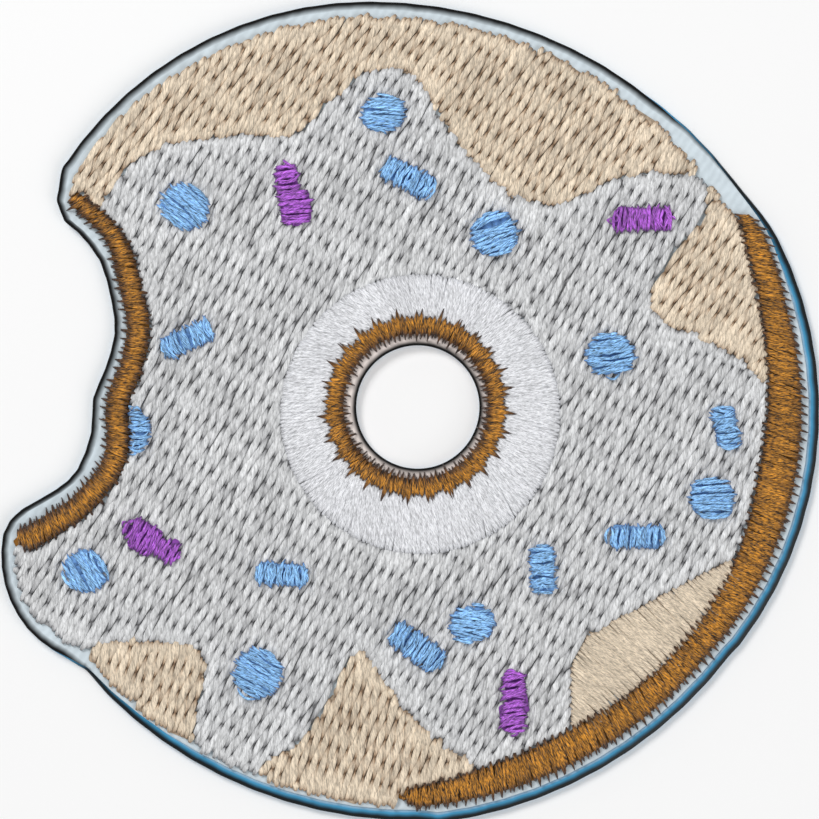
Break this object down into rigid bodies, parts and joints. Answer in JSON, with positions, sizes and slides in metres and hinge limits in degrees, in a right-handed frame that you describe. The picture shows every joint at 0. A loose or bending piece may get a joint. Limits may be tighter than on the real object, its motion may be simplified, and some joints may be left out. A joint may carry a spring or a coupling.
{
  "type": "embroidered patch",
  "caption": "Flat embroidered patch shaped like a ring doughnut with a bite taken out of one side, a glazed top, a round hole and satin-stitched sprinkles.",
  "frame": {"origin": "middle of the patch's box, on the underside of the backing film", "axes": "+Z out of the stitched face, +Y towards the top of the doughnut, -X towards the bite"},
  "size_m": [0.076, 0.0764, 0.0021],
  "materials": {
    "backing": "smooth fused film backing, saturated blue",
    "ground_cloth": "pale blue-white twill with a rounded cut edge",
    "dough_thread": "tan fill stitch, soft sheen along the thread",
    "glaze_thread": "light grey fill stitch, soft sheen along the thread",
    "white_thread": "white satin stitch, soft sheen",
    "brown_thread": "brown satin stitch, soft sheen",
    "blue_thread": "sky blue satin stitch, soft sheen",
    "purple_thread": "purple satin stitch, soft sheen"
  },
  "bodies": {
    "root": {"backing_film": "backing", "ground_cloth": "ground_cloth", "glaze": "glaze_thread", "inner_ring": "white_thread", "dough_top": "dough_thread", "dough_right": "dough_thread", "dough_shade": "dough_thread", "dough_bottom": "dough_thread", "dough_left": "dough_thread", "hole_edge": "brown_thread", "bite_edge": "brown_thread", "shade_band": "brown_thread", "dot_1": "blue_thread", "dot_2": "blue_thread", "dot_3": "blue_thread", "dot_4": "blue_thread", "dot_5": "blue_thread", "dot_6": "blue_thread", "dot_7": "blue_thread", "dot_8": "blue_thread", "dot_half": "blue_thread", "bar_1": "blue_thread", "bar_2": "blue_thread", "bar_3": "blue_thread", "bar_4": "blue_thread", "bar_5": "blue_thread", "bar_6": "blue_thread", "bar_7": "blue_thread", "purple_1": "purple_thread", "purple_2": "purple_thread", "purple_3": "purple_thread", "purple_4": "purple_thread"}
  },
  "joints": []
}
